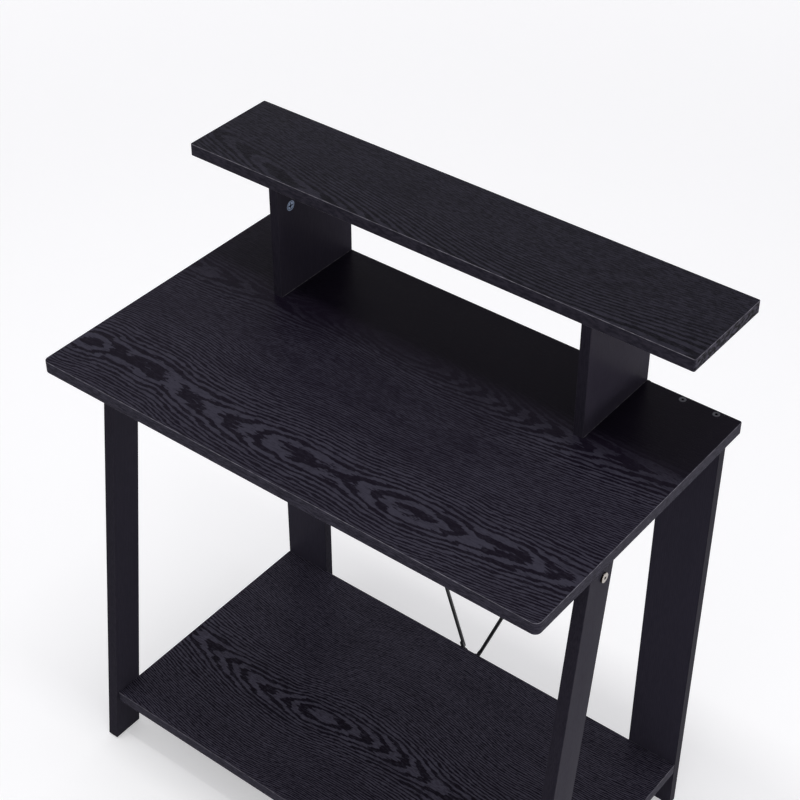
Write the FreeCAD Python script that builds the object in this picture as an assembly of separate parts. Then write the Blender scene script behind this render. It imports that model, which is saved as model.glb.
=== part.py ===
import FreeCAD, Part
import math
import os

# Ladder desk with a raised monitor shelf: faced boards with edge bands, upright flat rear legs,
# leaning front legs, a low shelf between the legs and two brace rods behind.
# Millimetres. X runs to the right, Y to the rear, Z up. The origin is on the floor, under the
# middle of the whole desk, brace rods included.

# ---- Desktop ---------------------------------------------------------------------------------
desk_width = 800.0
desk_depth = 460.0
desk_height = 760.0          # floor to working surface
desk_board = 18.0
desk_front_corner = 9.0      # plan radius of the front corners
desk_rear_corner = 3.0       # plan radius of the rear corners

# ---- Monitor shelf and its two uprights ------------------------------------------------------
shelf_rise = 190.0           # working surface to the top of the monitor shelf
shelf_depth = 154.0
shelf_board = 18.0
shelf_corner = 2.5
upright_board = 15.0
upright_inset = 142.0        # desktop end to the outer face of the upright

# ---- Legs ------------------------------------------------------------------------------------
front_leg_board = 18.0
front_leg_width = 50.0       # across the leg, square to its long edges
front_leg_lean = 7.0         # degrees from upright, foot forward
front_leg_setback = 109.0    # desktop front edge to the leg's front edge, under the desktop
rear_leg_board = 15.0
rear_leg_width = 82.0

# ---- Lower shelf and front rail --------------------------------------------------------------
lower_shelf_height = 95.0    # floor to the top of the lower shelf
lower_shelf_board = 18.0
lower_shelf_corner = 2.0
lower_shelf_setback = 4.0    # leg's front edge to the shelf's front edge, at the shelf's top
rail_board = 15.0
rail_height = 45.0

# ---- Edge bands ------------------------------------------------------------------------------
band = 1.0
band_arris = 0.6             # radius of the band's long outer edges

# ---- Bolts and barrel nuts -------------------------------------------------------------------
bolt_diameter = 6.0
bolt_head_diameter = 14.0
bolt_head_height = 2.4
bolt_head_rounding = 0.9     # radius of the head's outer rim
bolt_socket = 4.0            # across the flats of the hex socket
bolt_socket_depth = 2.4
bolt_past_nut = 3.0          # how far the tip stands out of the barrel nut
nut_diameter = 10.0
nut_length = 12.0
nut_reach = 32.0             # end of the board to the middle of the nut

# ---- Cam locks, dowels and screws ------------------------------------------------------------
cam_diameter = 15.0
cam_depth = 12.0
cam_reach = 34.0             # edge of the board to the middle of the cam
cam_bolt_diameter = 5.0
cam_bolt_head_diameter = 7.0
cam_bolt_head_length = 2.6
cam_bolt_thread = 11.0       # length of the bolt in the board that it is driven into
cam_wall = 2.0               # rim round the cam's hollow
cam_slot = 1.8               # width of the cross slot's arms
cam_slot_span = 9.0
cam_slot_core = 3.6          # across the round middle of the cross
cam_slot_depth = 2.2
cam_ring_diameter = 12.4     # outside of the groove round the cross slot
cam_ring_width = 0.7
cam_ring_depth = 0.6
dowel_diameter = 8.0
dowel_length = 30.0
dowel_deep_end = 18.0        # length of the dowel in the board whose end it goes into
screw_diameter = 4.0
screw_head_diameter = 8.0
screw_head_height = 2.6
screw_socket = 2.0           # across the flats
screw_socket_depth = 1.3
confirmat_diameter = 7.0
confirmat_head_diameter = 10.0
confirmat_head_depth = 3.0
confirmat_length = 50.0
confirmat_socket = 4.0       # across the flats
confirmat_socket_depth = 2.6
rail_screw_length = 35.0
rail_screw_bite = 11.0       # length of the rail screw in the desktop
rail_screw_inset = 90.0      # end of the rail to the outer screws

# ---- Places of the fasteners -----------------------------------------------------------------
upright_cam_edge = 26.0      # front edge of the upright to the cam
upright_dowel_edge = 34.0    # rear edge of the upright to the dowel
upright_screw_edge = 36.0    # front and rear edges of the upright to the screws below
rear_leg_screw_edge = 16.0   # sides of the rear leg to its screws
front_leg_pair = 16.0        # between a front leg's bolt and its dowel
front_leg_bolt_back = 6.0    # middle of the front leg back to its bolts and to the rail
rail_bolt_drop = 12.0        # underside of the desktop to the bolt

# ---- Brace rods ------------------------------------------------------------------------------
rod_diameter = 6.0
rod_tab = 3.0                # thickness of the flattened end
rod_tab_width = 14.0
rod_tab_neck = 9.0           # middle of the hole to the end of the round rod
rod_tab_reach = 18.0         # middle of the hole to the end of the flat, along the rod
rod_standoff = 1.0           # board edge to the near side of the rod
rod_top_inset = 41.0         # inner side of the rear leg to the upper screw
rod_bottom_spread = 24.0     # between the two lower screws
rod_screw_length = 22.0

# ---- Feet ------------------------------------------------------------------------------------
glide_diameter = 13.0
glide_height = 3.0
glide_edge_radius = 1.0
glide_nail_diameter = 2.4
glide_nail_length = 12.0
glide_nail_head_diameter = 4.8
glide_nail_head_height = 0.8
glide_nail_head_up = 1.5     # floor to the side of the nail's head that bears on the glide
rear_glide_edge = 14.0       # side of the rear leg to the middle of the glide

# ---- Clearances ------------------------------------------------------------------------------
fit = 0.1                    # on the diameter, round a dowel, cam, nut or screw thread
bolt_play = 0.6              # on the diameter, round a bolt that passes through
depth_play = 0.5             # at the blind end of a hole

# ---- Levels and planes worked out from the sizes above ---------------------------------------
rear_reach = rod_standoff + rod_diameter
front_y = -(desk_depth + rear_reach) / 2
rear_y = front_y + desk_depth
end_x = desk_width / 2
underside = desk_height - desk_board
shelf_top = desk_height + shelf_rise
shelf_underside = shelf_top - shelf_board
lower_underside = lower_shelf_height - lower_shelf_board
inner_x = end_x - front_leg_board           # inner face of a front leg, end of the lower shelf
lean_run = math.tan(math.radians(front_leg_lean))
leg_span = front_leg_width / math.cos(math.radians(front_leg_lean))
rear_leg_front_y = rear_y - rear_leg_board
shelf_front_y = rear_y - shelf_depth
rear_leg_inner_x = inner_x - rear_leg_width

rail_bolt_z = underside - rail_bolt_drop
lower_bolt_z = lower_shelf_height - lower_shelf_board / 2

UP = FreeCAD.Vector(0, 0, 1)
DOWN = FreeCAD.Vector(0, 0, -1)
RIGHT = FreeCAD.Vector(1, 0, 0)
LEFT = FreeCAD.Vector(-1, 0, 0)
FRONT = FreeCAD.Vector(0, -1, 0)
REAR = FreeCAD.Vector(0, 1, 0)
SIDES = (("left", -1), ("right", 1))

# Length, diameter, head diameter, head depth, socket and its depth of the two countersunk screws.
CONFIRMAT = (
    confirmat_length, confirmat_diameter, confirmat_head_diameter, confirmat_head_depth,
    confirmat_socket, confirmat_socket_depth,
)
RAIL_SCREW = (
    rail_screw_length, screw_diameter, screw_head_diameter, screw_head_height,
    screw_socket, screw_socket_depth,
)

nodes = {}


def add(name, shape):
    """Adds one piece, or several separate ones, to a node."""
    nodes.setdefault(name, []).extend(shape.Solids)


def drill(names, tool):
    """Takes a hole out of every piece of the named nodes."""
    for name in names:
        cut = []
        for solid in nodes[name]:
            cut.extend(solid.cut(tool).Solids)
        nodes[name] = cut


def box(x0, x1, y0, y1, z0, z1):
    corner = FreeCAD.Vector(min(x0, x1), min(y0, y1), min(z0, z1))
    return Part.makeBox(abs(x1 - x0), abs(y1 - y0), abs(z1 - z0), corner)


def rod(start, direction, diameter, length):
    return Part.makeCylinder(diameter / 2, length, start, direction)


def prism_x(x0, x1, profile):
    """A solid with one outline in the YZ plane, from x0 to x1."""
    points = [FreeCAD.Vector(min(x0, x1), y, z) for y, z in profile]
    face = Part.Face(Part.makePolygon(points + points[:1]))
    return face.extrude(FreeCAD.Vector(abs(x1 - x0), 0, 0))


def rounded_board(x0, x1, y0, y1, z0, z1, front_radius, rear_radius):
    """A flat board whose four upright corners are rounded."""
    board = box(x0, x1, y0, y1, z0, z1)
    for radius, y in ((front_radius, y0), (rear_radius, y1)):
        corners = []
        for edge in board.Edges:
            middle = edge.CenterOfMass
            upright = abs(edge.Length - (z1 - z0)) < 1e-6 and abs(middle.z - (z0 + z1) / 2) < 1e-6
            if upright and abs(middle.y - y) < 1e-6:
                corners.append(edge)
        board = board.makeFillet(radius, corners)
    return board


def banded_board(name, x0, x1, y0, y1, z0, z1, front_radius, rear_radius):
    """A board and the band that runs round its four edges."""
    whole = rounded_board(x0, x1, y0, y1, z0, z1, front_radius, rear_radius)
    rims = [edge for edge in whole.Edges if edge.BoundBox.ZLength < (z1 - z0) / 2]
    softened = whole.makeFillet(band_arris, rims)
    core = rounded_board(
        x0 + band, x1 - band, y0 + band, y1 - band, z0, z1, front_radius - band, rear_radius - band
    )
    add(name, core)
    add(name + "_edge_band", softened.cut(core))


def soften(strip, outward):
    """Rounds the two long edges of the outer face of a straight band."""
    outer = max(strip.Faces, key=lambda face: face.CenterOfMass.dot(outward))
    longest = max(edge.Length for edge in outer.Edges)
    return strip.makeFillet(band_arris, [edge for edge in outer.Edges if edge.Length > longest / 2])


def hexagon(start, direction, across_flats, depth):
    """A six-sided prism, for a socket."""
    radius = across_flats / math.sqrt(3)
    side = direction.cross(UP)
    if side.Length < 0.5:
        side = direction.cross(RIGHT)
    side.normalize()
    other = direction.cross(side)
    points = []
    for turn in range(7):
        angle = math.radians(60 * turn)
        points.append(start + side * (radius * math.cos(angle)) + other * (radius * math.sin(angle)))
    return Part.Face(Part.makePolygon(points)).extrude(direction * depth)


# ---- Boards ----------------------------------------------------------------------------------
def leg_front_y(z):
    """Front edge of a front leg at a height."""
    return front_y + front_leg_setback - lean_run * (underside - z)


def leg_bolt_y(z):
    """Line of a front leg's bolt at a height."""
    return leg_front_y(z) + leg_span / 2 + front_leg_bolt_back


def make_desktop():
    banded_board(
        "desktop", -end_x, end_x, front_y, rear_y, underside, desk_height,
        desk_front_corner, desk_rear_corner,
    )


def make_monitor_shelf():
    banded_board(
        "monitor_shelf", -end_x, end_x, shelf_front_y, rear_y, shelf_underside, shelf_top,
        shelf_corner, shelf_corner,
    )


def make_upright(side, sign):
    outer = sign * (end_x - upright_inset)
    inner = outer - sign * upright_board
    name = "upright_" + side
    add(name, box(outer, inner, shelf_front_y + band, rear_y - band, desk_height, shelf_underside))
    for edge, outward in ((shelf_front_y, FRONT), (rear_y, REAR)):
        strip = box(outer, inner, edge, edge - outward.y * band, desk_height, shelf_underside)
        add(name + "_edge_bands", soften(strip, outward))


def make_rear_leg(side, sign):
    outer = sign * inner_x
    inner = sign * rear_leg_inner_x
    name = "rear_leg_" + side
    z0, z1 = glide_height, underside
    add(name, box(outer - sign * band, inner + sign * band, rear_leg_front_y, rear_y, z0, z1))
    for edge, outward in ((outer, RIGHT * sign), (inner, LEFT * sign)):
        strip = box(edge, edge - outward.x * band, rear_leg_front_y, rear_y, z0, z1)
        add(name + "_edge_bands", soften(strip, outward))


def make_front_leg(side, sign):
    name = "front_leg_" + side
    lean = math.radians(front_leg_lean)
    forward = FreeCAD.Vector(0, -math.cos(lean), math.sin(lean))
    across = band / math.cos(lean)
    z0, z1 = glide_height, underside

    def slanted(start, end):
        """The leg's stretch from one distance behind its front edge to another."""
        profile = [(leg_front_y(z1) + start, z1), (leg_front_y(z1) + end, z1)]
        profile += [(leg_front_y(z0) + end, z0), (leg_front_y(z0) + start, z0)]
        return prism_x(sign * inner_x, sign * end_x, profile)

    add(name, slanted(across, leg_span - across))
    add(name + "_edge_bands", soften(slanted(0, across), forward))
    add(name + "_edge_bands", soften(slanted(leg_span - across, leg_span), -forward))


def make_lower_shelf():
    y0 = leg_front_y(lower_shelf_height) + lower_shelf_setback
    banded_board(
        "lower_shelf", -inner_x, inner_x, y0, rear_leg_front_y, lower_underside,
        lower_shelf_height, lower_shelf_corner, lower_shelf_corner,
    )


def make_front_rail():
    y0 = leg_bolt_y(rail_bolt_z) - rail_board / 2
    y1 = y0 + rail_board
    z0 = underside - rail_height
    add("front_rail", box(-inner_x, inner_x, y0, y1, z0 + band, underside))
    add("front_rail_edge_band", soften(box(-inner_x, inner_x, y0, y1, z0, z0 + band), DOWN))


# ---- Fasteners, each with the holes that it needs --------------------------------------------
def low_head_bolt(seat, direction, length):
    """A bolt with a low round head on the seat, rounded at its rim, and a hex socket."""
    top = seat - direction * bolt_head_height
    head = rod(top, direction, bolt_head_diameter, bolt_head_height)
    rim = [edge for edge in head.Edges if edge.CenterOfMass.distanceToPoint(top) < 0.01]
    head = head.makeFillet(min(bolt_head_rounding, bolt_head_height * 0.8), rim)
    bolt = head.fuse(rod(seat, direction, bolt_diameter, length)).removeSplitter()
    return bolt.cut(hexagon(top, direction, bolt_socket, bolt_socket_depth))


def bolt_and_nut(bolts, nuts, seat, direction, passed, held, thickness, nut_along, open_depth):
    """Joins the passed board to the held board's end with a bolt and a barrel nut.

    nut_along points from the bolt to the face through which the nut went in, which lies
    open_depth from the bolt.
    """
    length = thickness + nut_reach + nut_diameter / 2 + bolt_past_nut
    drill(passed + held, rod(seat, direction, bolt_diameter + bolt_play, length + depth_play))
    middle = seat + direction * (thickness + nut_reach)
    nut_end = middle - nut_along * (nut_length / 2)
    bore_length = nut_length / 2 + depth_play + open_depth
    bore_start = nut_end - nut_along * depth_play
    drill(held, rod(bore_start, nut_along, nut_diameter + fit, bore_length))
    nut = rod(nut_end, nut_along, nut_diameter, nut_length)
    through = rod(middle - direction * nut_diameter, direction, bolt_diameter + fit, 2 * nut_diameter)
    add(bolts, low_head_bolt(seat, direction, length))
    add(nuts, nut.cut(through))


def dowel(name, face_point, direction, first, second):
    """A wooden dowel across the face between two boards, deeper in the second one."""
    depth_in_first = dowel_length - dowel_deep_end
    start = face_point - direction * (depth_in_first + depth_play)
    hole = rod(start, direction, dowel_diameter + fit, dowel_length + 2 * depth_play)
    drill(first + second, hole)
    add(name, rod(face_point - direction * depth_in_first, direction, dowel_diameter, dowel_length))


def cam_joint(cams, bolts, face_point, direction, outward, board_half, holder, taker):
    """A cam in the face of one board that pulls the head of a bolt driven into another.

    face_point lies where the two boards meet, on the bolt's line, direction points into the
    board with the cam, and outward points to the face through which the cam went in.
    """
    middle = face_point + direction * cam_reach
    face = middle + outward * board_half
    drill(holder, rod(face, -outward, cam_diameter + fit, cam_depth + depth_play))
    neck_hole = rod(face_point, direction, cam_bolt_head_diameter + bolt_play, cam_reach)
    drill(holder, neck_hole)
    thread_hole = rod(face_point, -direction, cam_bolt_diameter + fit, cam_bolt_thread + depth_play)
    drill(taker, thread_hole)

    start = face_point - direction * cam_bolt_thread
    shank_length = cam_bolt_thread + cam_reach - cam_bolt_head_length / 2
    head_start = start + direction * shank_length
    shank = rod(start, direction, cam_bolt_diameter, shank_length)
    head = rod(head_start, direction, cam_bolt_head_diameter, cam_bolt_head_length)
    add(bolts, shank.fuse(head).removeSplitter())

    across = direction.cross(outward)
    body = rod(face, -outward, cam_diameter, cam_depth)
    head_room = cam_bolt_head_diameter + bolt_play
    hollow = rod(middle - outward * head_room / 2, outward, cam_diameter - 2 * cam_wall, head_room)
    way_in = rod(middle, across, head_room, cam_diameter)
    neck_room = cam_bolt_diameter + bolt_play
    near = middle - across * (neck_room / 2) - outward * (neck_room / 2)
    reach = across * cam_diameter
    sweep = [near, near + reach, near + reach - direction * cam_diameter]
    sweep += [near - direction * cam_diameter, near]
    track = Part.Face(Part.makePolygon(sweep)).extrude(outward * neck_room)
    body = body.cut(hollow).cut(way_in).cut(track)
    for arm, wide in ((direction, across), (across, direction)):
        corner = face - arm * (cam_slot_span / 2) - wide * (cam_slot / 2)
        points = [
            corner,
            corner + arm * cam_slot_span,
            corner + arm * cam_slot_span + wide * cam_slot,
            corner + wide * cam_slot,
            corner,
        ]
        body = body.cut(Part.Face(Part.makePolygon(points)).extrude(outward * -cam_slot_depth))
    body = body.cut(rod(face, -outward, cam_slot_core, cam_slot_depth))
    ring = rod(face, -outward, cam_ring_diameter, cam_ring_depth).cut(
        rod(face, -outward, cam_ring_diameter - 2 * cam_ring_width, cam_ring_depth)
    )
    add(cams, body.cut(ring))


def flat_screw(name, seat, direction, sizes, names):
    """A countersunk screw with a hex socket, flush with the seat, and its hole."""
    length, diameter, head_diameter, head_depth, socket, socket_depth = sizes
    head = Part.makeCone(head_diameter / 2, diameter / 2, head_depth, seat, direction)
    screw = head.fuse(rod(seat + direction * head_depth, direction, diameter, length - head_depth))
    mouth = Part.makeCone((head_diameter + fit) / 2, (diameter + fit) / 2, head_depth, seat, direction)
    drill(names, mouth.fuse(rod(seat, direction, diameter + fit, length + depth_play)))
    add(name, screw.removeSplitter().cut(hexagon(seat, direction, socket, socket_depth)))


# ---- Joints ----------------------------------------------------------------------------------
def join_monitor_shelf(side, sign):
    outer = sign * (end_x - upright_inset)
    middle = outer - sign * upright_board / 2
    inward = LEFT * sign
    upright = ["upright_" + side]
    cam_line = FreeCAD.Vector(middle, shelf_front_y + upright_cam_edge, shelf_underside)
    cam_joint(
        "upright_cam_locks", "upright_cam_bolts", cam_line, DOWN, inward, upright_board / 2,
        upright, ["monitor_shelf"],
    )
    dowel_line = FreeCAD.Vector(middle, rear_y - upright_dowel_edge, shelf_underside)
    dowel("upright_dowels", dowel_line, DOWN, ["monitor_shelf"], upright)
    for y in (shelf_front_y + upright_screw_edge, rear_y - upright_screw_edge):
        seat = FreeCAD.Vector(middle, y, underside)
        flat_screw("upright_screws", seat, UP, CONFIRMAT, ["desktop"] + upright)


def join_front_leg(side, sign):
    inward = LEFT * sign
    leg = ["front_leg_" + side]
    rail_y = leg_bolt_y(rail_bolt_z)
    seat = FreeCAD.Vector(sign * end_x, rail_y, rail_bolt_z)
    bolt_and_nut(
        "front_leg_upper_bolts", "front_rail_barrel_nuts", seat, inward, leg, ["front_rail"],
        front_leg_board, REAR, rail_board / 2,
    )
    dowel_line = FreeCAD.Vector(sign * inner_x, rail_y, rail_bolt_z - front_leg_pair)
    dowel("front_rail_dowels", dowel_line, inward, leg, ["front_rail"])

    shelf = ["lower_shelf", "lower_shelf_edge_band"]
    bolt_y = leg_bolt_y(lower_bolt_z)
    seat = FreeCAD.Vector(sign * end_x, bolt_y, lower_bolt_z)
    bolt_and_nut(
        "front_leg_lower_bolts", "lower_shelf_barrel_nuts", seat, inward, leg, shelf,
        front_leg_board, DOWN, lower_shelf_board / 2,
    )
    dowel_line = FreeCAD.Vector(sign * inner_x, bolt_y - front_leg_pair, lower_bolt_z)
    dowel("lower_shelf_dowels", dowel_line, inward, leg, shelf)


def join_rear_leg(side, sign):
    """Two screws from above through the desktop, and two from behind into the lower shelf."""
    leg = ["rear_leg_" + side]
    shelf = ["lower_shelf", "lower_shelf_edge_band"]
    middle_y = rear_y - rear_leg_board / 2
    for x in (inner_x - rear_leg_screw_edge, rear_leg_inner_x + rear_leg_screw_edge):
        above = FreeCAD.Vector(sign * x, middle_y, desk_height)
        flat_screw("rear_leg_upper_screws", above, DOWN, CONFIRMAT, ["desktop"] + leg)
        behind = FreeCAD.Vector(sign * x, rear_y, lower_bolt_z)
        flat_screw("rear_leg_lower_screws", behind, FRONT, CONFIRMAT, leg + shelf)


def join_front_rail():
    """Screws from below, sunk in the rail's lower edge, hold the rail to the desktop."""
    depth = rail_height - (rail_screw_length - rail_screw_bite)
    seat_z = underside - rail_height + depth
    rail_y = leg_bolt_y(rail_bolt_z)
    for x in (-(inner_x - rail_screw_inset), 0.0, inner_x - rail_screw_inset):
        mouth = FreeCAD.Vector(x, rail_y, underside - rail_height)
        drill(
            ["front_rail", "front_rail_edge_band"],
            rod(mouth, UP, screw_head_diameter + fit, depth),
        )
        seat = FreeCAD.Vector(x, rail_y, seat_z)
        flat_screw("front_rail_screws", seat, UP, RAIL_SCREW, ["front_rail", "desktop"])


def make_brace_rod(side, sign):
    """A round rod with flattened ends, one on the desktop's rear edge, one on the lower shelf's."""
    top_x = sign * (rear_leg_inner_x - rod_top_inset)
    top = FreeCAD.Vector(top_x, rear_y, underside + desk_board / 2)
    bottom = FreeCAD.Vector(sign * rod_bottom_spread / 2, rear_leg_front_y, lower_bolt_z)
    off = REAR * (rod_standoff + rod_diameter / 2)
    line = (bottom + off) - (top + off)
    length = line.Length
    line.normalize()
    start = top + off + line * rod_tab_neck
    shape = rod(start, line, rod_diameter, length - 2 * rod_tab_neck)
    flat_line = FreeCAD.Vector(line.x, 0, line.z)
    flat_line.normalize()
    wide = flat_line.cross(REAR)
    for end, along in ((top, flat_line), (bottom, -flat_line)):
        tab = rod(end, REAR, rod_tab_width, rod_tab)
        near = end - wide * (rod_diameter / 2)
        far = near + along * rod_tab_reach
        across = wide * rod_diameter
        points = [near, far, far + across, near + across, near]
        neck = Part.Face(Part.makePolygon(points)).extrude(REAR * rod_tab)
        hole = rod(end, REAR, screw_diameter + bolt_play, rod_tab)
        shape = shape.fuse(tab).fuse(neck).cut(hole)
        board = "desktop" if end is top else "lower_shelf"
        drill(
            [board, board + "_edge_band"],
            rod(end, FRONT, screw_diameter + fit, rod_screw_length - rod_tab + depth_play),
        )
        seat = end + REAR * rod_tab
        head = rod(seat, REAR, screw_head_diameter, screw_head_height)
        shank = rod(seat, FRONT, screw_diameter, rod_screw_length)
        screw = head.fuse(shank).removeSplitter()
        socket = hexagon(seat + REAR * screw_head_height, FRONT, screw_socket, screw_socket_depth)
        add("brace_rod_screws", screw.cut(socket))
    add("brace_rod_" + side, shape.removeSplitter())


def make_glides(side, sign):
    """Round plastic glides nailed under the legs."""
    front_place = (sign * (end_x - front_leg_board / 2), leg_front_y(glide_height) + leg_span / 2)
    middle_y = rear_y - rear_leg_board / 2
    places = [
        ("front_leg_" + side, front_place),
        ("rear_leg_" + side, (sign * (inner_x - rear_glide_edge), middle_y)),
        ("rear_leg_" + side, (sign * (rear_leg_inner_x + rear_glide_edge), middle_y)),
    ]
    for leg, (x, y) in places:
        floor_point = FreeCAD.Vector(x, y, 0)
        disc = rod(floor_point, UP, glide_diameter, glide_height)
        lower = [edge for edge in disc.Edges if edge.BoundBox.ZMax < glide_height / 2]
        disc = disc.makeFillet(glide_edge_radius, lower)
        head_top = FreeCAD.Vector(x, y, glide_nail_head_up)
        nail_head = rod(head_top, DOWN, glide_nail_head_diameter, glide_nail_head_height)
        shank = rod(head_top, UP, glide_nail_diameter, glide_nail_length)
        nail = nail_head.fuse(shank).removeSplitter()
        pocket = rod(floor_point, UP, glide_nail_head_diameter + fit, glide_nail_head_up)
        way = rod(floor_point, UP, glide_nail_diameter + fit, glide_height)
        add("foot_glides", disc.cut(pocket).cut(way))
        add("foot_glide_nails", nail)
        drill([leg], rod(head_top, UP, glide_nail_diameter + fit, glide_nail_length + depth_play))


def build():
    make_desktop()
    make_monitor_shelf()
    make_lower_shelf()
    make_front_rail()
    for side, sign in SIDES:
        make_upright(side, sign)
        make_rear_leg(side, sign)
        make_front_leg(side, sign)
    join_front_rail()
    for side, sign in SIDES:
        join_monitor_shelf(side, sign)
        join_front_leg(side, sign)
        join_rear_leg(side, sign)
        make_brace_rod(side, sign)
        make_glides(side, sign)


def export():
    os.makedirs("parts", exist_ok=True)
    for name, solids in nodes.items():
        shape = solids[0] if len(solids) == 1 else Part.makeCompound(solids)
        shape.exportStep("parts/" + name + ".step")


build()
export()
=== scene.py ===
"""Looks of a ladder desk in black wood-grain melamine: materials, studio, lamps and camera.

Places in materials are in millimetres in the row's frame: X to the right, Y to the rear, Z up.
"""

import math
from typing import NamedTuple

import bmesh
import bpy
from mathutils import Matrix, Vector


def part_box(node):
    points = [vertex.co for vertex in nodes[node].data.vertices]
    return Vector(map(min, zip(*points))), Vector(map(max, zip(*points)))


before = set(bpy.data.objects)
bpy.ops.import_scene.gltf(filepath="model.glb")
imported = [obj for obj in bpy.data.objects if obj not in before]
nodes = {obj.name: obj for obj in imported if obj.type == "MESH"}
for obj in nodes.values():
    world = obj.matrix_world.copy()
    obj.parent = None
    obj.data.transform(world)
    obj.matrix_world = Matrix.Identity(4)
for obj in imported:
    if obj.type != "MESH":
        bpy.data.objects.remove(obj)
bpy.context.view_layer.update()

# ---- Places, in millimetres ------------------------------------------------------------------
MM = 1000.0                          # millimetres in a metre
desk_low, desk_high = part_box("desktop_edge_band")
desk_left = desk_low.x * MM
desk_front = desk_low.y * MM
desk_top = desk_high.z * MM
desk_length = (desk_high.x - desk_low.x) * MM
shelf_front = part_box("monitor_shelf_edge_band")[0].y * MM
low_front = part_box("lower_shelf_edge_band")[0].y * MM
FRONT_LEG_WIDTH = 50.0               # square to the leg
FRONT_LEG_LEAN = 7.0                 # degrees to the rear

# ---- Directions ------------------------------------------------------------------------------
RIGHTWARD, REARWARD, UPWARD = (1, 0, 0), (0, 1, 0), (0, 0, 1)
X_AXIS, Y_AXIS, Z_AXIS = 0, 1, 2

# ---- Colours, linear -------------------------------------------------------------------------
PRINT_DARK = (0.0068, 0.0049, 0.0102, 1)
PRINT_LIGHT = (0.0400, 0.0374, 0.0540, 1)
SHELF_DARK = (0.0036, 0.0032, 0.0058, 1)
SHELF_LIGHT = (0.0256, 0.0240, 0.0353, 1)
# Painted light: the low shelf's light print colour is lighter than the desktop's, to make up for the
# desktop's shade over it.
LOW_LIGHT_WITH_PAINTED_LIGHT = (0.0700, 0.0655, 0.0910, 1)
CUT_EDGE = (0.1500, 0.1430, 0.1550, 1)
COAT_DARK = (0.0080, 0.0080, 0.0095, 1)
COAT_LIGHT = (0.0180, 0.0180, 0.0210, 1)
BEECH_DARK = (0.42, 0.27, 0.15, 1)
BEECH_LIGHT = (0.60, 0.43, 0.26, 1)
PLASTIC_DARK = (0.012, 0.012, 0.013, 1)
PLASTIC_LIGHT = (0.024, 0.024, 0.026, 1)
FLOOR_COLOUR = (0.80, 0.80, 0.80, 1)
WORLD_COLOUR = (0.56, 0.555, 0.585, 1)

# ---- Spans of noise, where its smooth steps start and end ------------------------------------
WIDE = (0.2, 0.8)
MIDDLE = (0.25, 0.75)
NARROW = (0.3, 0.7)


# ---- Figure of the printed grain -------------------------------------------------------------
class Figure(NamedTuple):
    """Rings cut nearly flat along a heart line that runs from end to end.

    Each point starts with its distance from the desktop's left end in mm. Eyes lie where the
    depth is least, and bars across the line where it changes fast.
    """
    depths: tuple       # how deep the heart lies, in rings
    drift: tuple        # how far back from the front edge it lies, in mm
    ring: float         # ring width in mm
    base: float         # rings above the heart line at depth 0


MAIN_FIGURE = Figure(
    depths=(
        (0, 4.9), (21, 4.5), (62, 5.5), (100, 5.65), (140, 5.45), (169, 5.8), (205, 5.5),
        (244, 5.0), (274, 4.5), (303, 4.0), (326, 3.5), (343, 3.0), (390, 2.4), (465, 2.65),
        (500, 2.0), (537, 1.0), (575, 0.5), (614, 1.0), (655, 2.0), (690, 2.2), (720, 2.5),
        (745, 3.0), (775, 3.5), (800, 3.9),
    ),
    drift=((0, 69), (140, 76), (240, 61), (390, 62), (575, 65), (700, 76), (800, 88)),
    ring=3.0,
    base=20.0,
)
REAR_FIGURE = Figure(
    depths=(
        (0, 5.5), (80, 6.5), (150, 7.5), (230, 5.5), (300, 2.5), (360, 1.5), (420, 2.5),
        (520, 6.0), (620, 9.5), (700, 11.0), (800, 12.0),
    ),
    drift=((0, 292), (180, 300), (280, 322), (360, 320), (480, 306), (600, 296), (800, 310)),
    ring=2.7,
    base=17.0,
)
SHELF_FIGURE = Figure(
    depths=(
        (0, 3.6), (70, 2.3), (150, 1.5), (230, 2.3), (310, 4.0), (430, 6.2), (560, 8.4),
        (680, 9.4), (800, 10.5),
    ),
    drift=(
        (0, 108), (80, 91), (155, 74), (240, 61), (340, 50), (480, 32), (620, 36), (720, 52),
        (800, 66),
    ),
    ring=3.9,
    base=6.0,
)
LOW_FIGURE = Figure(
    depths=(
        (0, 7.5), (70, 6.2), (150, 4.6), (230, 3.0), (300, 1.4), (360, 2.2), (450, 4.4),
        (560, 6.4), (700, 8.0), (800, 9.0),
    ),
    drift=((0, 176), (200, 150), (400, 168), (600, 150), (800, 162)),
    ring=3.1,
    base=14.0,
)
DEPTH_SPAN = 16.0                    # full height of the depth curves, in rings
DRIFT_SPAN = 460.0                   # full height of the drift curves, in mm
SHELF_LEAD = 60.0                    # shelf drift is counted from this far before its front edge
RING_EDGE = 0.26                     # how softly a light ring turns dark


class Stray(NamedTuple):
    """How rings stray from their figure. Sizes are in mm along, across and through the board."""
    jag: tuple          # sizes of the jagged part
    jag_rings: float    # its strength, in rings
    jag_seed: float
    sway: tuple         # sizes of the slow part
    sway_rings: float
    sway_seed: float


DESKTOP_STRAY = Stray((30.0, 6.5, 50.0), 1.5, 3.1, (140.0, 50.0, 90.0), 0.7, 8.7)
SHELF_STRAY = Stray((40.0, 6.0, 50.0), 0.9, 6.4, (130.0, 50.0, 80.0), 1.2, 4.9)
LOW_STRAY = Stray((32.0, 6.5, 50.0), 1.4, 12.3, (120.0, 50.0, 80.0), 2.2, 10.4)


class Grain(NamedTuple):
    """Fine detail of a print, in mm: flecks and pores by length and width, clouds by three sizes."""
    fleck: tuple
    fleck_strength: float
    fleck_seed: float
    pore: tuple
    pore_seed: float
    cloud: tuple
    cloud_seed: float


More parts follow.
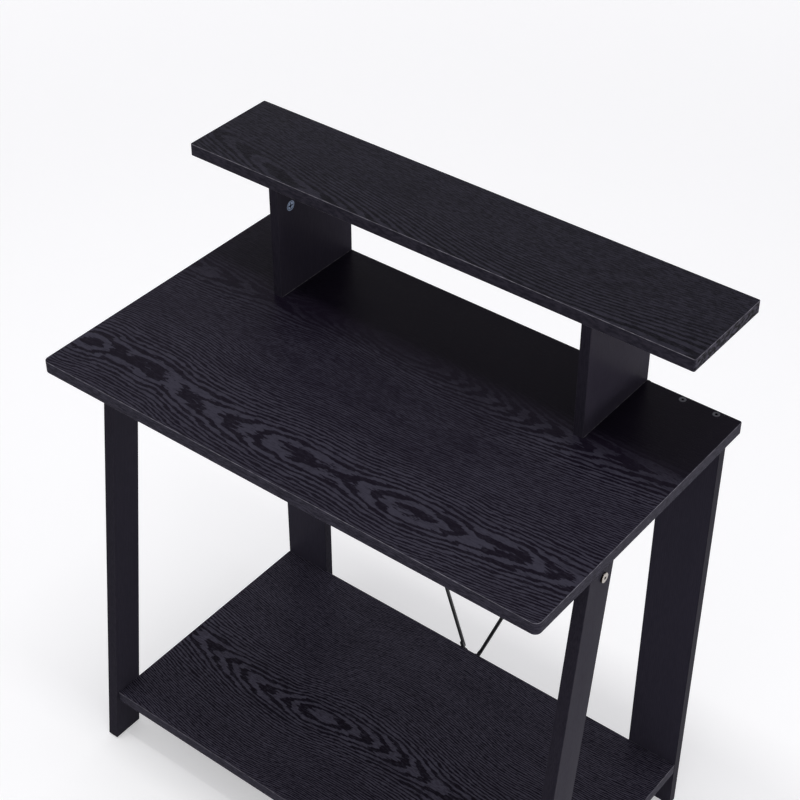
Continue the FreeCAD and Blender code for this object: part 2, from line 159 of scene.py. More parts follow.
DESKTOP_GRAIN = Grain((9.0, 2.0), 0.42, 5.5, (11.0, 0.9), 1.7, (120.0, 34.0, 60.0), 2.2)
SHELF_GRAIN = Grain((8.0, 1.9), 0.50, 7.5, (9.0, 0.9), 9.3, (90.0, 30.0, 60.0), 1.2)
LOW_GRAIN = Grain((9.0, 2.0), 0.45, 13.5, (11.0, 0.9), 14.7, (120.0, 34.0, 60.0), 15.2)
FLECK_EDGE = (0.36, 0.64)            # noise from a dark fleck to a light one
PORE_EDGE = (0.54, 0.68)             # noise from the plain print to a pore
PORE_DARKENS = 0.34                  # light share that a pore takes away
PORE_ROUGHENS = 0.06
CLOUD_LIGHT = (0.78, 1.12)           # what a cloud makes of the light share
PRINT_HEIGHT = 0.5                   # how high a light ring stands, against a pore's depth of 1


class Surface(NamedTuple):
    relief: float       # mm
    specular: float


FIGURED_SURFACE = Surface(0.05, 0.045)
PLAIN_SURFACE = Surface(0.015, 0.012)
BAND_SURFACE = Surface(0.03, 0.012)
BOARD_ROUGH = (0.30, 0.40)
BAND_ROUGH = (0.32, 0.46)

# ---- Zones of the desktop's print and of its painted shade -----------------------------------
# Places are in mm: back from the front edge, or along from the left end.
HEARTS_MEET = 196.0                  # back: between the main and the rear figure
MAIN_FADE = (150.0, 215.0)           # back: the main figure gives way to a fine print
FINE_STRENGTH = (0.55, 0.90)         # how strong its lines are, at the left and at the right
FINE_RISE = (540.0, 660.0)           # along: from the one to the other
REAR_MIDDLE = 295.0                  # back: middle of the rear figure
REAR_REACH = (66.0, 25.0)            # from that middle: where the figure starts and is full
REAR_STRENGTH = 0.24                 # what it adds to the lines' strength
FINE_LIGHT = 0.44                    # light share of the print without its lines
DIM_START = (90.0, 150.0)            # back: behind this the left part is dimmer
DIM_END = (520.0, 680.0)             # along: where that part ends
DIM_LIGHT = 0.84
SHADE_AND_PRINT_BORDER = (248.0, 346.0)         # back: the desktop grows dark under the monitor shelf, partly a darker print and partly painted shade of the shelf
DARK_LEAD = 26.0                     # at the left the border lies this much further forward
DARK_LEAD_END = (120.0, 420.0)       # along: where that ends
DARK_JAG = 45.0                      # raggedness of the border, in mm
DARK_LIGHT = (0.42, 0.06)            # light share left, at the left end and elsewhere
DARK_START = (110.0, 230.0)          # along: from the one to the other

# ---- Zones of the shelves' prints ------------------------------------------------------------
SHELF_FADE = (34.0, 86.0)            # back: the figure fades
SHELF_STRENGTH = (0.60, 0.82)        # before that, at the left and at the right
SHELF_RISE = (130.0, 270.0)          # along: from the one to the other
SHELF_REAR_STRENGTH = 0.28
SHELF_PLAIN_LIGHT = 0.5              # light share of the print without its figure
LOW_STRENGTH = 0.85
LOW_LEAST_LIGHT = 0.06


# ---- Straight prints -------------------------------------------------------------------------
class StraightPrint(NamedTuple):
    dark: tuple
    light: tuple
    line_strength: float
    fleck_strength: float
    ring: float         # mm from line to line
    seed: float


# Painted light: the uprights' and rear legs' prints are lighter copies of the front legs', standing
# in for light their faces lack.
UPRIGHT_PRINT_PAINTED_LIGHTER = StraightPrint(
    (0.0290, 0.0254, 0.0376, 1), (0.0384, 0.0338, 0.0480, 1), 0.25, 0.35, 3.1, 7.3
)
REAR_LEG_PRINT_PAINTED_LIGHTER = StraightPrint(
    (0.0306, 0.0280, 0.0406, 1), (0.0396, 0.0363, 0.0514, 1), 0.35, 0.40, 2.9, 11.9
)
FRONT_LEG_PRINT = StraightPrint(
    (0.0264, 0.0241, 0.0338, 1), (0.0346, 0.0318, 0.0440, 1), 0.35, 0.40, 2.9, 15.2
)
RAIL_PRINT = FRONT_LEG_PRINT._replace(ring=2.8, seed=5.1)
LINE_EDGE = 0.7                      # how softly a light line turns dark
LINE_SWAY = (420.0, 40.0, 60.0)      # mm
LINE_SWAY_RINGS = 3.0
STRAIGHT_FLECK = (16.0, 1.8)         # mm
STRAIGHT_PORE = (14.0, 0.8)
STRAIGHT_CLOUD = (160.0, 30.0, 40.0)
FLECK_SEED, PORE_SEED, CLOUD_SEED, CHIP_SEED = 2.3, 4.1, 6.7, 8.0      # added to the print's own
CUT_LINE = (0.7, 1.3)                # mm above a cut end, where its pale line ends
CHIP_SIZE = 7.0                      # mm
CHIP_EDGE = (0.35, 0.65)             # noise from a whole place to a chipped one
CHIP_PALE = (0.25, 1.0)              # how pale they are


# ---- Edge bands ------------------------------------------------------------------------------
class BandLook(NamedTuple):
    """A band's colours and mottle. The mottle's sizes are in mm in X, Y and Z."""
    dark: tuple
    light: tuple
    arris: tuple
    mottle: tuple
    seed: float
    on_front: float = 1.0                # mottle's strength on the faces along the desk
    on_ends: float = 1.0                 # and at its ends


DESKTOP_BAND = BandLook(
    (0.0200, 0.0184, 0.0274, 1), (0.0570, 0.0528, 0.0725, 1), (0.2100, 0.2030, 0.2300, 1),
    (9.0, 9.0, 1.1), 1.4,
)
LOW_BAND = DESKTOP_BAND._replace(seed=9.9)
SHELF_BAND = BandLook(
    (0.0030, 0.0026, 0.0046, 1), (0.0640, 0.0590, 0.0800, 1), (0.2100, 0.2030, 0.2270, 1),
    (12.0, 8.0, 4.2), 6.8, on_front=0.3, on_ends=1.35,
)
SIDE_BAND = BandLook(
    (0.0190, 0.0170, 0.0248, 1), (0.0268, 0.0242, 0.0345, 1), (0.0400, 0.0370, 0.0480, 1),
    (1.1, 1.1, 12.0), 3.3,
)
RAIL_BAND = SIDE_BAND._replace(mottle=(12.0, 1.1, 1.1), seed=4.2)
REAR_LEG_BAND = SIDE_BAND._replace(
    dark=(0.0125, 0.0112, 0.0170, 1), light=(0.0285, 0.0258, 0.0365, 1), seed=5.7
)
MOTTLE_EDGE = (0.36, 0.66)           # noise from the band's dark to its light
END_TURN = (0.5, 0.8)                # X part of the normal, from the front to an end
ARRIS_EDGE = (0.15, 0.6)             # roundness, from the flat face to the arris
WEAR_AND_HIGHLIGHT_SIZE = 9.0                      # mm
WEAR_AND_HIGHLIGHT_SEED = 3.0                      # added to the band's own
WEAR_AND_HIGHLIGHT_PALE = (0.35, 1.0)              # how pale the arris is, from little wear and painted highlight to much


# ---- Metal, coats, timber and plastic --------------------------------------------------------
class Plating(NamedTuple):
    bright: tuple
    hollow_shade: tuple
    rough: float
    reach: float        # mm, how near a wall makes a hollow
    grit: float         # mm, size of the fine marks
    open_span: tuple = (0.62, 0.97)      # how open a place is, from painted shade to bright
    painted_dark_reflection: bool = False             # whether the flank that turns to the front is painted dark, as a painted reflection


NICKEL = Plating(
    (0.46, 0.42, 0.385, 1), (0.020, 0.013, 0.009, 1), 0.14, 6.5, 0.5,
    open_span=(0.46, 0.80), painted_dark_reflection=True,
)
ZINC_CASTING = Plating((0.21, 0.26, 0.36, 1), (0.01, 0.011, 0.015, 1), 0.32, 2.2, 0.35)
ZINC_PLATE = Plating((0.105, 0.105, 0.12, 1), (0.01, 0.01, 0.011, 1), 0.30, 2.6, 0.4)
STAIN_SIZE = 3.0                     # mm
STAIN_BRIGHT = (0.72, 1.0)           # what a stain makes of the brightness
STAIN_ROUGHENS = 0.14
MARKS_ROUGHEN = 0.06
MARKS_RELIEF = 0.02                  # mm
FRONT_FLANK = (-0.50, -0.30)         # Y part of the normal, from the painted dark reflection to plain


class Coat(NamedTuple):
    rough: float
    peel: float         # mm, size of the orange peel


POWDER_COAT = Coat(0.34, 1.3)
BLACK_OXIDE = Coat(0.42, 0.5)
COAT_CLOUD = 30.0                    # mm
COAT_ROUGHENS = 0.08
PEEL_ROUGHENS = 0.05
PEEL_RELIEF = 0.03                   # mm

BEECH_FLECK = (6.0, 0.6, 0.6)        # mm
BEECH_ROUGH = (0.55, 0.70)
BEECH_RELIEF = 0.05                  # mm
SPARK_SIZE = 0.5                     # mm, size of the plastic's moulded texture
PLASTIC_ROUGH = (0.42, 0.60)
PLASTIC_RELIEF = 0.03                # mm


# ---- Building node trees ---------------------------------------------------------------------
class Value:
    """What nodes work out. It adds, subtracts and multiplies as a plain number does."""

    def __init__(self, shade, socket):
        self.shade = shade
        self.socket = socket

    def __add__(self, other):
        return self.shade.math("ADD", self, other)

    def __sub__(self, other):
        return self.shade.math("SUBTRACT", self, other)

    def __rsub__(self, other):
        return self.shade.math("SUBTRACT", other, self)

    def __mul__(self, other):
        return self.shade.math("MULTIPLY", self, other)

    def __abs__(self):
        return self.shade.math("ABSOLUTE", self)

    def root(self):
        return self.shade.math("SQRT", self)

    def cosine(self):
        return self.shade.math("COSINE", self)

    def at_least(self, other):
        return self.shade.math("MAXIMUM", self, other)

    def above(self, limit):
        """1 where this is more than the limit, else 0."""
        return self.shade.math("GREATER_THAN", self, limit)

    def below(self, limit):
        """1 where this is less than the limit, else 0."""
        return self.shade.math("LESS_THAN", self, limit)

    def step(self, start, end, low=0.0, high=1.0):
        """A smooth rise from low to high while this goes from start to end."""
        node = self.shade.new("MapRange", interpolation_type="SMOOTHSTEP")
        for socket, number in zip(node.inputs, (self, start, end, low, high)):
            self.shade.put(socket, number)
        return self.shade.out(node)


class Shade:
    """One material and its nodes."""

    def __init__(self, name):
        self.material = bpy.data.materials.new(name)
        self.material.use_nodes = True
        self.tree = self.material.node_tree
        self.tree.nodes.clear()
        self.output = self.tree.nodes.new("ShaderNodeOutputMaterial")

    def new(self, kind, **settings):
        node = self.tree.nodes.new("ShaderNode" + kind)
        for key, value in settings.items():
            setattr(node, key, value)
        return node

    def put(self, socket, value):
        """Links what nodes work out to a socket, or sets the socket to a constant."""
        if isinstance(value, Value):
            self.tree.links.new(value.socket, socket)
        else:
            socket.default_value = value

    def out(self, node, name=0):
        return Value(self, node.outputs[name])

    def math(self, operation, *values):
        node = self.new("Math", operation=operation)
        for socket, value in zip(node.inputs, values):
            self.put(socket, value)
        return self.out(node)

    def parts(self, vector):
        """The X, Y and Z of a vector."""
        node = self.new("SeparateXYZ")
        self.put(node.inputs[0], vector)
        return [Value(self, socket) for socket in node.outputs]

    def place(self):
        """X, Y and Z in millimetres."""
        scaled = self.new("VectorMath", operation="SCALE")
        self.put(scaled.inputs[0], self.out(self.new("TexCoord"), "Object"))
        scaled.inputs["Scale"].default_value = MM
        return self.parts(self.out(scaled))

    def facing(self):
        """The three parts of the surface's normal."""
        return self.parts(self.out(self.new("NewGeometry"), "Normal"))

    def noise(self, where, sizes, detail=2.0, rough=0.5, seed=0.0):
        """Noise from 0 to 1 whose blobs have the given sizes along the three places."""
        joined = self.new("CombineXYZ")
        for socket, value, size in zip(joined.inputs, where, sizes):
            self.put(socket, self.math("MULTIPLY_ADD", value, 1.0 / size, seed))
        node = self.new("TexNoise", noise_dimensions="3D")
        self.put(node.inputs["Vector"], self.out(joined))
        node.inputs["Scale"].default_value = 1.0
        node.inputs["Detail"].default_value = detail
        node.inputs["Roughness"].default_value = rough
        return self.out(node)

    def curve(self, value, span, points, height):
        """A smooth curve through points (value, result)."""
        node = self.new("FloatCurve")
        self.put(node.inputs["Value"], value * (1.0 / span))
        line = node.mapping.curves[0]
        for number, (start, result) in enumerate(points):
            if number < 2:
                point = line.points[number]
                point.location = (start / span, result / height)
            else:
                point = line.points.new(start / span, result / height)
            point.handle_type = "AUTO"
        node.mapping.update()
        return self.out(node) * height

    def mix(self, share, low, high):
        """The colour between low and high. A Mix node takes its two colours at inputs 6 and 7."""
        node = self.new("Mix", data_type="RGBA")
        for number, value in ((0, share), (6, low), (7, high)):
            self.put(node.inputs[number], value)
        return self.out(node, 2)

    def finish(self, colour, rough, height, relief, metallic=0.0, specular=0.5):
        """Ends the material. relief is in millimetres."""
        bump = self.new("Bump")
        bump.inputs["Strength"].default_value = 1.0
        bump.inputs["Distance"].default_value = relief / MM
        self.put(bump.inputs["Height"], height)
        shader = self.new("BsdfPrincipled")
        self.put(shader.inputs["Base Color"], colour)
        self.put(shader.inputs["Roughness"], rough)
        self.put(shader.inputs["Normal"], self.out(bump))
        shader.inputs["Metallic"].default_value = metallic
        shader.inputs["Specular IOR Level"].default_value = specular
        self.put(self.output.inputs["Surface"], self.out(shader))
        return self.material


def cube(size):
    """Three equal sizes."""
    return (size, size, size)


def dash(shape):
    """Three sizes from a length along the grain and a width."""
    length, width = shape
    return (length, width, width)


# ---- Melamine --------------------------------------------------------------------------------
def rings(along, across, figure):
    """Which ring shows at a place, for a figure round one heart line."""
    shade = along.shade
    depth = shade.curve(along, desk_length, figure.depths, DEPTH_SPAN)
    deep = (depth + figure.base) * figure.ring
    off = across - shade.curve(along, desk_length, figure.drift, DRIFT_SPAN)
    far = (off * off + deep * deep).root()
    return far * (1.0 / figure.ring) - figure.base


def stripe(level, edge=RING_EDGE):
    """1 in the middle of a light ring, 0 in the dark between two."""
    return (level * (2 * math.pi)).cosine().step(-edge, edge)


def stray_of(where, stray):
    """The jagged part alone, from -0.5 to 0.5, and how many rings all of it makes."""
    shade = where[0].shade
    jag = shade.noise(where, stray.jag, detail=3.0, rough=0.6, seed=stray.jag_seed) - 0.5
    sway = shade.noise(where, stray.sway, detail=1.0, seed=stray.sway_seed) - 0.5
    return jag, jag * stray.jag_rings + sway * stray.sway_rings


def flecks(where, grain):
    """Short light and dark flecks along the grain, round 0."""
    noise = where[0].shade.noise(where, dash(grain.fleck), detail=2.0, seed=grain.fleck_seed)
    return (noise.step(*FLECK_EDGE) - 0.5) * grain.fleck_strength


def pores(where, grain):
    """Short fine dashes along the grain, 1 in a pore."""
    noise = where[0].shade.noise(where, dash(grain.pore), detail=1.0, seed=grain.pore_seed)
    return noise.step(*PORE_EDGE)


def melamine(where, light, grain, colours, surface, chipped=None):
    """Ends a board's material from its light share, pale where it is chipped."""
    shade = light.shade
    pore = pores(where, grain)
    cloud = shade.noise(where, grain.cloud, detail=2.0, seed=grain.cloud_seed)
    share = light * cloud.step(*WIDE, *CLOUD_LIGHT)
    share = (share - pore * PORE_DARKENS).at_least(0.0)
    colour = shade.mix(share, *colours)
    if chipped is not None:
        colour = shade.mix(chipped, colour, CUT_EDGE)
    rough = cloud.step(*MIDDLE, *BOARD_ROUGH) + pore * PORE_ROUGHENS
    height = light * PRINT_HEIGHT - pore
    return shade.finish(colour, rough, height, surface.relief, specular=surface.specular)


def top_place(shade, front):
    """Distance along from the left end, distance back from the front edge, and height.

    On the underside the print runs the other way.
    """
    x, y, z = shade.place()
    under = shade.facing()[Z_AXIS].below(0.0)
    along = x - desk_left
    turned = desk_length - along
    along = along + under * (turned - along)
    return along, y - front, z


def desktop_board():
    where = top_place(Shade("desktop_melamine"), desk_front)
    along, across, _ = where
    jag, stray = stray_of(where, DESKTOP_STRAY)
    near = rings(along, across, MAIN_FIGURE)
    rear = rings(along, across, REAR_FIGURE)
    level = near + across.above(HEARTS_MEET) * (rear - near) + stray

    strength = across.step(*MAIN_FADE, 1.0, along.step(*FINE_RISE, *FINE_STRENGTH))
    strength = strength + abs(across - REAR_MIDDLE).step(*REAR_REACH, 0.0, REAR_STRENGTH)
    light = stripe(level) * strength + (1.0 - strength) * FINE_LIGHT
    light = light + flecks(where, DESKTOP_GRAIN)
    light = light * across.step(*DIM_START, 1.0, along.step(*DIM_END, DIM_LIGHT, 1.0))

    # Painted shade: the monitor shelf's shadow, with a darker print, darkens the rear of the
    # desktop.
    border = across + (along.step(*DARK_LEAD_END, DARK_LEAD, 0.0) + jag * DARK_JAG)
    light = light * border.step(*SHADE_AND_PRINT_BORDER, 1.0, along.step(*DARK_START, *DARK_LIGHT))
    return melamine(where, light, DESKTOP_GRAIN, (PRINT_DARK, PRINT_LIGHT), FIGURED_SURFACE)


def monitor_shelf_board():
    where = top_place(Shade("monitor_shelf_melamine"), shelf_front)
    along, across, _ = where
    level = rings(along, across + SHELF_LEAD, SHELF_FIGURE) + stray_of(where, SHELF_STRAY)[1]
    front_strength = along.step(*SHELF_RISE, *SHELF_STRENGTH)
    strength = across.step(*SHELF_FADE, front_strength, SHELF_REAR_STRENGTH)
    light = stripe(level) * strength + (1.0 - strength) * SHELF_PLAIN_LIGHT
    light = light + flecks(where, SHELF_GRAIN)
    return melamine(where, light, SHELF_GRAIN, (SHELF_DARK, SHELF_LIGHT), FIGURED_SURFACE)


def low_shelf_board():
    where = top_place(Shade("low_shelf_melamine"), low_front)
    along, across, _ = where
    level = rings(along, across, LOW_FIGURE) + stray_of(where, LOW_STRAY)[1]
    light = stripe(level) * LOW_STRENGTH + LOW_LEAST_LIGHT + flecks(where, LOW_GRAIN)
    # Its lighter colour is painted light standing in for light lost in the desktop's shade.
    return melamine(where, light, LOW_GRAIN, (PRINT_DARK, LOW_LIGHT_WITH_PAINTED_LIGHT), FIGURED_SURFACE)


def distance(place, direction):
    """Distance along a direction."""
    total = place[0] * direction[0]
    for part, share in zip(place[1:], direction[1:]):
        total = total + part * share
    return total


def chipped_line(place, cut_end, seed):
    """How pale the chipped line of a cut end is. cut_end is the end's height in mm."""
    line = place[Z_AXIS].step(*(cut_end + rise for rise in CUT_LINE), 1.0, 0.0)
    broken = place[0].shade.noise(place, cube(CHIP_SIZE), detail=3.0, seed=seed)
    return line * broken.step(*CHIP_EDGE, *CHIP_PALE)


def straight_board(name, along, across, look, number=0, cut_end=None):
    """Melamine with straight grain. along and across are directions in the row's frame.

    number tells boards with the same look apart. cut_end is the height in mm of an end without a
    band, which shows as a pale chipped line.
    """
    shade = Shade(name)
    seed = look.seed + number
    place = shade.place()
    normal = Vector(along).cross(Vector(across))
    where = [distance(place, direction) for direction in (along, across, normal)]
    sway = shade.noise(where, LINE_SWAY, detail=1.0, seed=seed) - 0.5
    level = where[1] * (1.0 / look.ring) + sway * LINE_SWAY_RINGS
    grain = Grain(
        STRAIGHT_FLECK, look.fleck_strength, seed + FLECK_SEED,
        STRAIGHT_PORE, seed + PORE_SEED, STRAIGHT_CLOUD, seed + CLOUD_SEED,
    )
    plain_light = (1.0 - look.line_strength) * 0.5
    light = stripe(level, LINE_EDGE) * look.line_strength + plain_light
    light = light + flecks(where, grain)
    chipped = None if cut_end is None else chipped_line(place, cut_end, seed + CHIP_SEED)
    return melamine(where, light, grain, (look.dark, look.light), PLAIN_SURFACE, chipped)


def edge_band(name, thickness_axis, look):
    """Edge band with a short mottled grain, pale along its rounded arris from wear and a painted
    highlight.

    thickness_axis is the axis across the board's thickness.
    """
    shade = Shade(name)
    where = shade.place()
    facing = shade.facing()
    mottle = shade.noise(where, look.mottle, detail=3.0, rough=0.6, seed=look.seed)
    share = mottle.step(*MOTTLE_EDGE)
    if look.on_front != look.on_ends:
        strength = abs(facing[X_AXIS]).step(*END_TURN, look.on_front, look.on_ends)
        share = (share - 0.5) * strength + 0.5
    across = abs(facing[thickness_axis])
    outward = (1.0 - across * across).at_least(0.0).root()
    arris = across * outward * 2.0
    broken = shade.noise(where, cube(WEAR_AND_HIGHLIGHT_SIZE), detail=2.0, seed=look.seed + WEAR_AND_HIGHLIGHT_SEED)
    # Wear and painted highlight: the rounded arris is painted pale.
    wear_and_highlight = arris.step(*ARRIS_EDGE) * broken.step(*NARROW, *WEAR_AND_HIGHLIGHT_PALE)
    colour = shade.mix(wear_and_highlight, shade.mix(share, look.dark, look.light), look.arris)
    rough = mottle.step(*NARROW, *BAND_ROUGH)
    relief, specular = BAND_SURFACE
    return shade.finish(colour, rough, mottle, relief, specular=specular)


# ---- Metal, timber and plastic ---------------------------------------------------------------
def openness(shade, reach):
    """Low in a socket or slot and 1 in the open. reach is in mm."""
    node = shade.new("AmbientOcclusion", samples=8)
    node.inputs["Distance"].default_value = reach / MM
    return shade.out(node, "AO")


def metal(name, plating):
    """Plated metal with painted shade in its hollows, and fine marks from turning and tumbling."""
    shade = Shade(name)
    where = shade.place()
    stain = shade.noise(where, cube(STAIN_SIZE), detail=3.0, seed=2.0)
    marks = shade.noise(where, cube(plating.grit), detail=2.0, seed=7.0)
    # Painted shade: the colour darkens where walls are near, in sockets and slots and round a head's
    # foot.
    bright = openness(shade, plating.reach).step(*plating.open_span)
    bright = bright * stain.step(*WIDE, *STAIN_BRIGHT)
    # Painted reflection: the flank that turns to the front is darkened.
    if plating.painted_dark_reflection:
        bright = bright * shade.facing()[Y_AXIS].step(*FRONT_FLANK)
    colour = shade.mix(bright, plating.hollow_shade, plating.bright)
    rough = stain.step(*MIDDLE, plating.rough, plating.rough + STAIN_ROUGHENS)
    rough = rough + marks * MARKS_ROUGHEN
    return shade.finish(colour, rough, marks, MARKS_RELIEF, metallic=1.0)


def coated(name, coat):
    """Black coat with its orange peel."""
    shade = Shade(name)
    where = shade.place()
    skin = shade.noise(where, cube(coat.peel), detail=2.0, seed=1.0)
    cloud = shade.noise(where, cube(COAT_CLOUD), detail=2.0, seed=4.0)
    colour = shade.mix(cloud.step(*MIDDLE), COAT_DARK, COAT_LIGHT)
    rough = cloud.step(*WIDE, coat.rough, coat.rough + COAT_ROUGHENS) + skin * PEEL_ROUGHENS
    return shade.finish(colour, rough, skin, PEEL_RELIEF)


def beech_timber():
    shade = Shade("beech_timber")
    fleck = shade.noise(shade.place(), BEECH_FLECK, detail=2.0, seed=3.0)
    colour = shade.mix(fleck.step(*NARROW), BEECH_DARK, BEECH_LIGHT)
    return shade.finish(colour, fleck.step(*WIDE, *BEECH_ROUGH), fleck, BEECH_RELIEF)


def moulded_plastic():
    shade = Shade("moulded_plastic")
    spark = shade.noise(shade.place(), cube(SPARK_SIZE), detail=2.0, seed=5.0)
    colour = shade.mix(spark.step(*NARROW), PLASTIC_DARK, PLASTIC_LIGHT)
    return shade.finish(colour, spark.step(*WIDE, *PLASTIC_ROUGH), spark, PLASTIC_RELIEF)


# ---- Which node gets which material ----------------------------------------------------------
def front_leg_directions():
    """The directions along a front leg and across its width."""
    low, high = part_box("front_leg_right")
    level_width = FRONT_LEG_WIDTH / MM / math.cos(math.radians(FRONT_LEG_LEAN))
    run = (high.y - low.y) - level_width
    along = Vector((0, run, high.z - low.z)).normalized()
    return tuple(along), (0, along.z, -along.y)


def board_materials():
    leg_along, leg_across = front_leg_directions()
    boards = {
        "desktop": desktop_board(),
        "monitor_shelf": monitor_shelf_board(),
        "lower_shelf": low_shelf_board(),
        "front_rail": straight_board("rail_melamine", RIGHTWARD, UPWARD, RAIL_PRINT),
    }
    for number, side in enumerate(("left", "right")):
        # The uprights and rear legs take the lighter copies of the print: painted light.
        boards["upright_" + side] = straight_board(
            "upright_melamine_" + side, UPWARD, REARWARD, UPRIGHT_PRINT_PAINTED_LIGHTER, number, desk_top
        )
        boards["rear_leg_" + side] = straight_board(
            "rear_leg_melamine_" + side, UPWARD, RIGHTWARD, REAR_LEG_PRINT_PAINTED_LIGHTER, number
        )
        boards["front_leg_" + side] = straight_board(
            "front_leg_melamine_" + side, leg_along, leg_across, FRONT_LEG_PRINT, number
        )
    return boards


def band_materials():
    side_band = edge_band("upright_and_front_leg_band", X_AXIS, SIDE_BAND)
    rear_leg_band = edge_band("rear_leg_band", Y_AXIS, REAR_LEG_BAND)
    bands = {
        "desktop_edge_band": edge_band("desktop_band", Z_AXIS, DESKTOP_BAND),
        "monitor_shelf_edge_band": edge_band("monitor_shelf_band", Z_AXIS, SHELF_BAND),
        "lower_shelf_edge_band": edge_band("low_shelf_band", Z_AXIS, LOW_BAND),
        "front_rail_edge_band": edge_band("rail_band", Y_AXIS, RAIL_BAND),
    }
    for side in ("left", "right"):
        bands["upright_" + side + "_edge_bands"] = side_band
        bands["front_leg_" + side + "_edge_bands"] = side_band
        bands["rear_leg_" + side + "_edge_bands"] = rear_leg_band
    return bands


def fitting_materials():
    nickel = metal("nickel_plate", NICKEL)
    powder = coated("rod_powder_coat", POWDER_COAT)
    beech = beech_timber()
    return {
        "front_leg_upper_bolts": nickel,
        "front_leg_lower_bolts": nickel,
        "upright_cam_locks": metal("zinc_casting", ZINC_CASTING),
        "brace_rod_left": powder,
        "brace_rod_right": powder,
        "brace_rod_screws": coated("black_oxide", BLACK_OXIDE),
        "front_rail_dowels": beech,
        "lower_shelf_dowels": beech,
        "upright_dowels": beech,
        "foot_glides": moulded_plastic(),
    }


def dress():
    """Gives each node its material. All other screws, bolts, nuts and nails are zinc-plated."""
    materials = {**board_materials(), **band_materials(), **fitting_materials()}
    zinc = metal("zinc_plate", ZINC_PLATE)
    for name, item in nodes.items():
        for holder in item.material_slots:
            holder.material = materials.get(name, zinc)


# ---- Studio ----------------------------------------------------------------------------------
FLOOR_RADIUS = 7.0                   # metres, as are the next three
WALL_HEIGHT = 3.0
SWEEP_RADIUS = 0.8
CENTRE_RADIUS = 0.001
SWEEP_STEPS = 12
ROUND_STEPS = 96
FLOOR_GLOW = 0.372                   # what the camera and mirrors see on top of the lit floor
WALL_GLOW = 0.50                     # the same, far from the lamps
GLOW_RISE = (1800.0, 4200.0)         # mm from the middle, where the glow rises


def studio_material():
    """Pale, and lifted to white only for camera, mirror and glass rays, so that shadows stay."""
    shade = Shade("studio_pale")
    matt = shade.new("BsdfDiffuse")
    matt.inputs["Color"].default_value = FLOOR_COLOUR
    path = shade.new("LightPath")
    seen = shade.out(path, "Is Camera Ray").at_least(shade.out(path, "Is Glossy Ray"))
    seen = seen.at_least(shade.out(path, "Is Transmission Ray"))
    x, y, _ = shade.place()
    lift = (x * x + y * y).root().step(*GLOW_RISE, FLOOR_GLOW, WALL_GLOW)
    glow = shade.new("Emission")
    shade.put(glow.inputs["Strength"], seen * lift)
    both = shade.new("AddShader")
    shade.put(both.inputs[0], shade.out(matt))
    shade.put(both.inputs[1], shade.out(glow))
    shade.put(shade.output.inputs["Surface"], shade.out(both))
    return shade.material


def studio_outline():
    """Points (radius, height) from the floor's middle to the top of the wall."""
    flat_radius = FLOOR_RADIUS - SWEEP_RADIUS
    outline = [(CENTRE_RADIUS, 0.0), (flat_radius, 0.0)]
    for number in range(1, SWEEP_STEPS + 1):
        angle = math.radians(90 * number / SWEEP_STEPS)
        radius = flat_radius + SWEEP_RADIUS * math.sin(angle)
        height = SWEEP_RADIUS * (1 - math.cos(angle))
        outline.append((radius, height))
    outline.append((FLOOR_RADIUS, WALL_HEIGHT))
    return outline


def make_studio():
    """A round floor that sweeps up into a wall."""
    shape = bmesh.new()
    previous = None
    for radius, height in studio_outline():
        point = shape.verts.new((radius, 0, height))
        if previous:
            shape.edges.new((previous, point))
        previous = point
    bmesh.ops.spin(
        shape, geom=shape.verts[:] + shape.edges[:], cent=(0, 0, 0), axis=(0, 0, 1),
        angle=2 * math.pi, steps=ROUND_STEPS, use_merge=True,
    )
    bmesh.ops.recalc_face_normals(shape, faces=shape.faces[:])
    mesh = bpy.data.meshes.new("studio_sweep")
    shape.to_mesh(mesh)
    shape.free()
    for face in mesh.polygons:
        face.use_smooth = True
    mesh.materials.append(studio_material())
    floor = bpy.data.objects.new("studio_sweep", mesh)
    bpy.context.scene.collection.objects.link(floor)


class Lamp(NamedTuple):
    """An area lamp, in metres, watts and degrees."""
    name: str
    place: tuple
    target: tuple
    width: float
    height: float
    power: float
    spread: float = 180.0


LAMPS = (
    Lamp("strip_box", (0, -0.33, 4.2), (0, -0.05, 2.0), 2.4, 0.38, 46.0),
    Lamp("front_box", (0.9, -3.2, 1.9), (0, 0, 0.6), 1.3, 1.3, 6.0),
    Lamp("right_box", (2.6, 0.1, 0.28), (0, 0, 0.45), 1.8, 0.4, 2.9, spread=70.0),
)


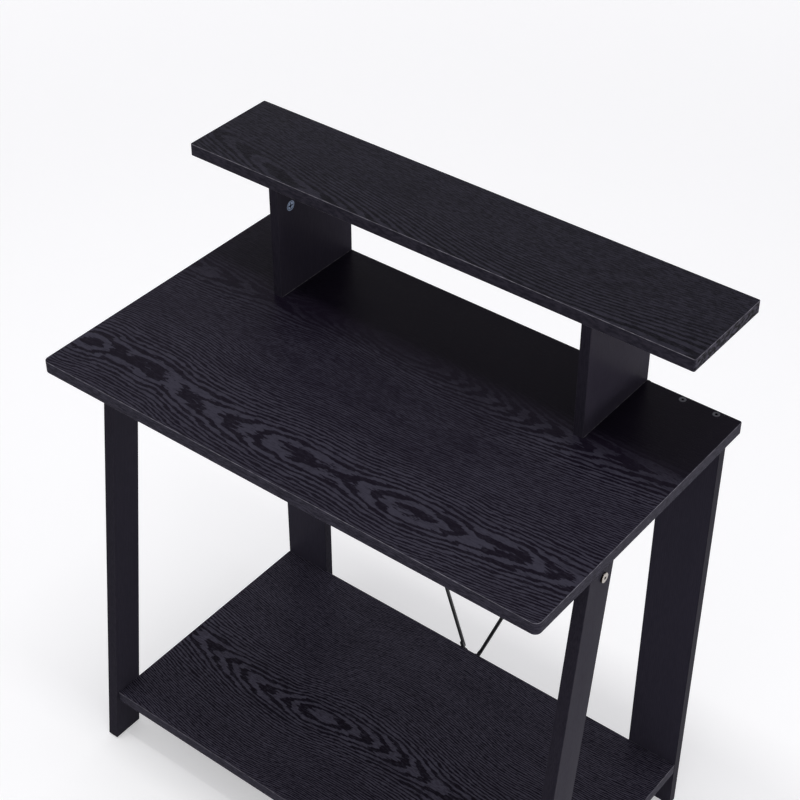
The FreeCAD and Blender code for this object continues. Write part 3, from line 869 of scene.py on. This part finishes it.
def make_lamp(lamp):
    data = bpy.data.lights.new(lamp.name, "AREA")
    data.shape = "RECTANGLE"
    data.size = lamp.width
    data.size_y = lamp.height
    data.energy = lamp.power
    data.spread = math.radians(lamp.spread)
    item = bpy.data.objects.new(lamp.name, data)
    item.location = lamp.place
    item.visible_camera = False
    item.rotation_mode = "QUATERNION"
    aim = Vector(lamp.target) - Vector(lamp.place)
    item.rotation_quaternion = aim.to_track_quat("-Z", "Y")
    bpy.context.scene.collection.objects.link(item)


def make_lights():
    """A strip box high overhead and a little to the front, two weak boxes and a pale room."""
    for lamp in LAMPS:
        make_lamp(lamp)
    world = bpy.data.worlds.new("dim_room")
    world.use_nodes = True
    world.node_tree.nodes["Background"].inputs["Color"].default_value = WORLD_COLOUR
    bpy.context.scene.world = world


# ---- Camera ----------------------------------------------------------------------------------
CAMERA_AZIMUTH = 38.0                # degrees to the right of the front
CAMERA_ELEVATION = 38.4              # degrees
CAMERA_DISTANCE = 2.47               # metres, as are the next three
CAMERA_TARGET = Vector((0, -0.0065, 0.56))
CAMERA_RIGHT = 0.0215                # how far it is moved sideways and up in its own plane
CAMERA_UP = 0.1455
CAMERA_LENS = 81.0                   # mm
CAMERA_SENSOR = 36.0                 # mm wide


def make_camera():
    azimuth = math.radians(CAMERA_AZIMUTH)
    elevation = math.radians(CAMERA_ELEVATION)
    right = Vector((math.cos(azimuth), math.sin(azimuth), 0))
    back = Vector((
        math.sin(azimuth) * math.cos(elevation),
        -math.cos(azimuth) * math.cos(elevation),
        math.sin(elevation),
    ))
    up = back.cross(right)
    data = bpy.data.cameras.new("camera")
    data.sensor_width = CAMERA_SENSOR
    data.lens = CAMERA_LENS
    camera = bpy.data.objects.new("camera", data)
    turn = Matrix((right, up, back)).transposed().to_4x4()
    place = CAMERA_TARGET + right * CAMERA_RIGHT + up * CAMERA_UP + back * CAMERA_DISTANCE
    camera.matrix_world = Matrix.Translation(place) @ turn
    bpy.context.scene.collection.objects.link(camera)
    bpy.context.scene.camera = camera


dress()
make_studio()
make_lights()
make_camera()
bpy.context.scene.view_settings.view_transform = "Standard"
